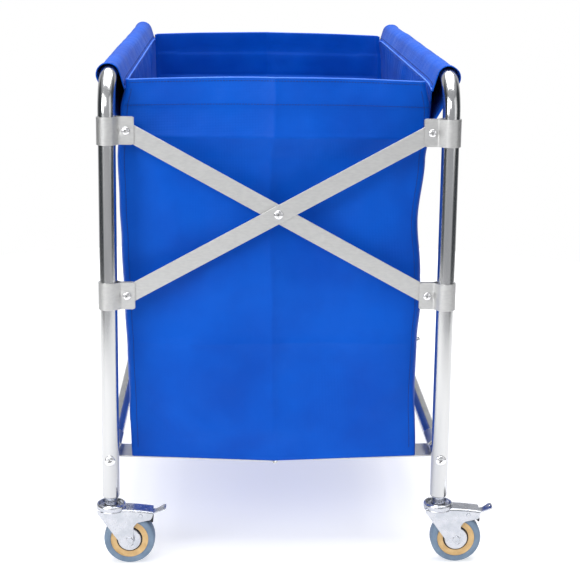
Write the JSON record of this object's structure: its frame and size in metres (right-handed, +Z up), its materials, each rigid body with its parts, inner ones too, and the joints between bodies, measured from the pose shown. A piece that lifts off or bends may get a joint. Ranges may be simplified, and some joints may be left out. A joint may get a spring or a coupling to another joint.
{
  "type": "folding linen trolley",
  "caption": "Folding trolley for linen: two tube side frames joined by scissor braces, an open fabric bag on the top rails, swivel casters with brakes.",
  "frame": {"origin": "middle of the footprint box, on the floor under the wheels", "axes": "+X from the left frame to the right frame, the way the scissor braces span and the way the casters trail at rest; +Y from the front brace to the rear brace, along the top rails; +Z up"},
  "size_m": [0.5886, 0.918, 0.7373],
  "materials": {
    "polished": "polished stainless tube",
    "brushed": "satin stainless strip",
    "fastener": "bright plated",
    "zinc": "bright zinc plate",
    "tyre": "matt grey rubber",
    "core": "satin tan plastic",
    "fabric": "coated woven fabric"
  },
  "bodies": {
    "left_frame": {"left_frame_tube": "polished", "left_lower_rail": "polished", "left_rail_sleeve": "fabric", "bag": "fabric", "front_left_rail_bolt": "fastener", "rear_left_rail_bolt": "fastener", "front_left_upper_clamp": "brushed", "front_left_upper_clamp_bolt": "fastener", "rear_left_upper_clamp": "brushed", "rear_left_upper_clamp_bolt": "fastener", "front_left_caster_stem": "zinc", "rear_left_caster_stem": "zinc"},
    "right_frame": {"right_frame_tube": "polished", "right_lower_rail": "polished", "right_rail_sleeve": "fabric", "front_right_rail_bolt": "fastener", "rear_right_rail_bolt": "fastener", "front_right_upper_clamp": "brushed", "front_right_upper_clamp_bolt": "fastener", "rear_right_upper_clamp": "brushed", "rear_right_upper_clamp_bolt": "fastener", "front_right_caster_stem": "zinc", "rear_right_caster_stem": "zinc"},
    "front_arm_a": {"front_brace_arm_a": "brushed", "front_brace_centre_bolt": "fastener"},
    "front_arm_b": {"front_brace_arm_b": "brushed"},
    "front_left_slider": {"front_left_lower_clamp": "brushed", "front_left_lower_clamp_bolt": "fastener"},
    "front_left_link": {"front_left_floor_link": "brushed", "front_floor_link_pin": "fastener"},
    "front_left_caster": {"front_left_caster_fork": "zinc"},
    "front_left_wheel": {"front_left_wheel_core": "core", "front_left_tyre": "tyre"},
    "front_left_pedal": {"front_left_brake_pedal": "zinc"},
    "front_right_slider": {"front_right_lower_clamp": "brushed", "front_right_lower_clamp_bolt": "fastener"},
    "front_right_link": {"front_right_floor_link": "brushed"},
    "front_right_caster": {"front_right_caster_fork": "zinc"},
    "front_right_wheel": {"front_right_wheel_core": "core", "front_right_tyre": "tyre"},
    "front_right_pedal": {"front_right_brake_pedal": "zinc"},
    "rear_arm_a": {"rear_brace_arm_a": "brushed", "rear_brace_centre_bolt": "fastener"},
    "rear_arm_b": {"rear_brace_arm_b": "brushed"},
    "rear_left_slider": {"rear_left_lower_clamp": "brushed", "rear_left_lower_clamp_bolt": "fastener"},
    "rear_left_link": {"rear_left_floor_link": "brushed", "rear_floor_link_pin": "fastener"},
    "rear_left_caster": {"rear_left_caster_fork": "zinc"},
    "rear_left_wheel": {"rear_left_wheel_core": "core", "rear_left_tyre": "tyre"},
    "rear_left_pedal": {"rear_left_brake_pedal": "zinc"},
    "rear_right_slider": {"rear_right_lower_clamp": "brushed", "rear_right_lower_clamp_bolt": "fastener"},
    "rear_right_link": {"rear_right_floor_link": "brushed"},
    "rear_right_caster": {"rear_right_caster_fork": "zinc"},
    "rear_right_wheel": {"rear_right_wheel_core": "core", "rear_right_tyre": "tyre"},
    "rear_right_pedal": {"rear_right_brake_pedal": "zinc"}
  },
  "joints": [
    {"name": "fold", "type": "hinge", "parent": "left_frame", "child": "front_arm_a", "pos_m": [-0.24625, -0.4375, 0.6475], "axis": [0, 1, 0], "range_deg": [0, 38], "deforming": ["bag"]},
    {"name": "front_brace_centre_pivot", "type": "hinge", "parent": "front_arm_a", "child": "front_arm_b", "pos_m": [-0.02975, -0.4375, 0.5281], "axis": [0, 1, 0], "range_deg": [-76.02, 0]},
    {"name": "right_frame_pivot", "type": "hinge", "parent": "front_arm_b", "child": "right_frame", "pos_m": [0.18675, -0.4375, 0.6475], "axis": [0, 1, 0], "range_deg": [0, 38.02]},
    {"name": "front_left_slider_pivot", "type": "hinge", "parent": "front_arm_b", "child": "front_left_slider", "pos_m": [-0.24625, -0.4375, 0.4087], "axis": [0, 1, 0], "range_deg": [0, 38.02]},
    {"name": "front_right_slider_pivot", "type": "hinge", "parent": "front_arm_a", "child": "front_right_slider", "pos_m": [0.18675, -0.4375, 0.4087], "axis": [0, 1, 0], "range_deg": [-38.02, 0]},
    {"name": "rear_arm_a_pivot", "type": "hinge", "parent": "left_frame", "child": "rear_arm_a", "pos_m": [-0.24625, 0.4375, 0.6475], "axis": [0, 1, 0], "range_deg": [0, 38.02]},
    {"name": "rear_brace_centre_pivot", "type": "hinge", "parent": "rear_arm_a", "child": "rear_arm_b", "pos_m": [-0.02975, 0.4375, 0.5281], "axis": [0, 1, 0], "range_deg": [-76.02, 0]},
    {"name": "rear_left_slider_pivot", "type": "hinge", "parent": "rear_arm_b", "child": "rear_left_slider", "pos_m": [-0.24625, 0.4375, 0.4087], "axis": [0, 1, 0], "range_deg": [0, 38.02]},
    {"name": "rear_right_slider_pivot", "type": "hinge", "parent": "rear_arm_a", "child": "rear_right_slider", "pos_m": [0.18675, 0.4375, 0.4087], "axis": [0, 1, 0], "range_deg": [-38.02, 0]},
    {"name": "front_left_link_hinge", "type": "hinge", "parent": "left_frame", "child": "front_left_link", "pos_m": [-0.27275, -0.3715, 0.161], "axis": [0, 1, 0], "range_deg": [-64.57, 0]},
    {"name": "front_right_link_hinge", "type": "hinge", "parent": "right_frame", "child": "front_right_link", "pos_m": [0.21325, -0.3715, 0.161], "axis": [0, 1, 0], "range_deg": [0, 64.57]},
    {"name": "rear_left_link_hinge", "type": "hinge", "parent": "left_frame", "child": "rear_left_link", "pos_m": [-0.27275, 0.3715, 0.161], "axis": [0, 1, 0], "range_deg": [-64.57, 0]},
    {"name": "rear_right_link_hinge", "type": "hinge", "parent": "right_frame", "child": "rear_right_link", "pos_m": [0.21325, 0.3715, 0.161], "axis": [0, 1, 0], "range_deg": [0, 64.57]},
    {"name": "front_left_swivel", "type": "hinge", "parent": "left_frame", "child": "front_left_caster", "pos_m": [-0.27275, -0.4375, 0.086], "axis": [0, 0, 1], "continuous": true},
    {"name": "front_left_roll", "type": "hinge", "parent": "front_left_caster", "child": "front_left_wheel", "pos_m": [-0.24575, -0.4375, 0.0375], "axis": [0, 1, 0], "continuous": true},
    {"name": "front_left_brake", "type": "hinge", "parent": "front_left_caster", "child": "front_left_pedal", "pos_m": [-0.22875, -0.4375, 0.0795], "axis": [0, 1, 0], "range_deg": [0, 10]},
    {"name": "front_right_swivel", "type": "hinge", "parent": "right_frame", "child": "front_right_caster", "pos_m": [0.21325, -0.4375, 0.086], "axis": [0, 0, 1], "continuous": true},
    {"name": "front_right_roll", "type": "hinge", "parent": "front_right_caster", "child": "front_right_wheel", "pos_m": [0.24025, -0.4375, 0.0375], "axis": [0, 1, 0], "continuous": true},
    {"name": "front_right_brake", "type": "hinge", "parent": "front_right_caster", "child": "front_right_pedal", "pos_m": [0.25725, -0.4375, 0.0795], "axis": [0, 1, 0], "range_deg": [0, 10]},
    {"name": "rear_left_swivel", "type": "hinge", "parent": "left_frame", "child": "rear_left_caster", "pos_m": [-0.27275, 0.4375, 0.086], "axis": [0, 0, 1], "continuous": true},
    {"name": "rear_left_roll", "type": "hinge", "parent": "rear_left_caster", "child": "rear_left_wheel", "pos_m": [-0.24575, 0.4375, 0.0375], "axis": [0, 1, 0], "continuous": true},
    {"name": "rear_left_brake", "type": "hinge", "parent": "rear_left_caster", "child": "rear_left_pedal", "pos_m": [-0.22875, 0.4375, 0.0795], "axis": [0, 1, 0], "range_deg": [0, 10]},
    {"name": "rear_right_swivel", "type": "hinge", "parent": "right_frame", "child": "rear_right_caster", "pos_m": [0.21325, 0.4375, 0.086], "axis": [0, 0, 1], "continuous": true},
    {"name": "rear_right_roll", "type": "hinge", "parent": "rear_right_caster", "child": "rear_right_wheel", "pos_m": [0.24025, 0.4375, 0.0375], "axis": [0, 1, 0], "continuous": true},
    {"name": "rear_right_brake", "type": "hinge", "parent": "rear_right_caster", "child": "rear_right_pedal", "pos_m": [0.25725, 0.4375, 0.0795], "axis": [0, 1, 0], "range_deg": [0, 10]}
  ],
  "couplings": [
    {"joint": "front_brace_centre_pivot", "follows": "fold", "ratio": -2},
    {"joint": "right_frame_pivot", "follows": "fold", "ratio": 1},
    {"joint": "front_left_slider_pivot", "follows": "fold", "ratio": 1},
    {"joint": "front_right_slider_pivot", "follows": "fold", "ratio": -1},
    {"joint": "rear_arm_a_pivot", "follows": "fold", "ratio": 1},
    {"joint": "rear_brace_centre_pivot", "follows": "fold", "ratio": -2},
    {"joint": "rear_left_slider_pivot", "follows": "fold", "ratio": 1},
    {"joint": "rear_right_slider_pivot", "follows": "fold", "ratio": -1},
    {"joint": "front_left_link_hinge", "follows": "fold", "ratio": -1.6986},
    {"joint": "front_right_link_hinge", "follows": "fold", "ratio": 1.6986},
    {"joint": "rear_left_link_hinge", "follows": "fold", "ratio": -1.6986},
    {"joint": "rear_right_link_hinge", "follows": "fold", "ratio": 1.6986}
  ]
}
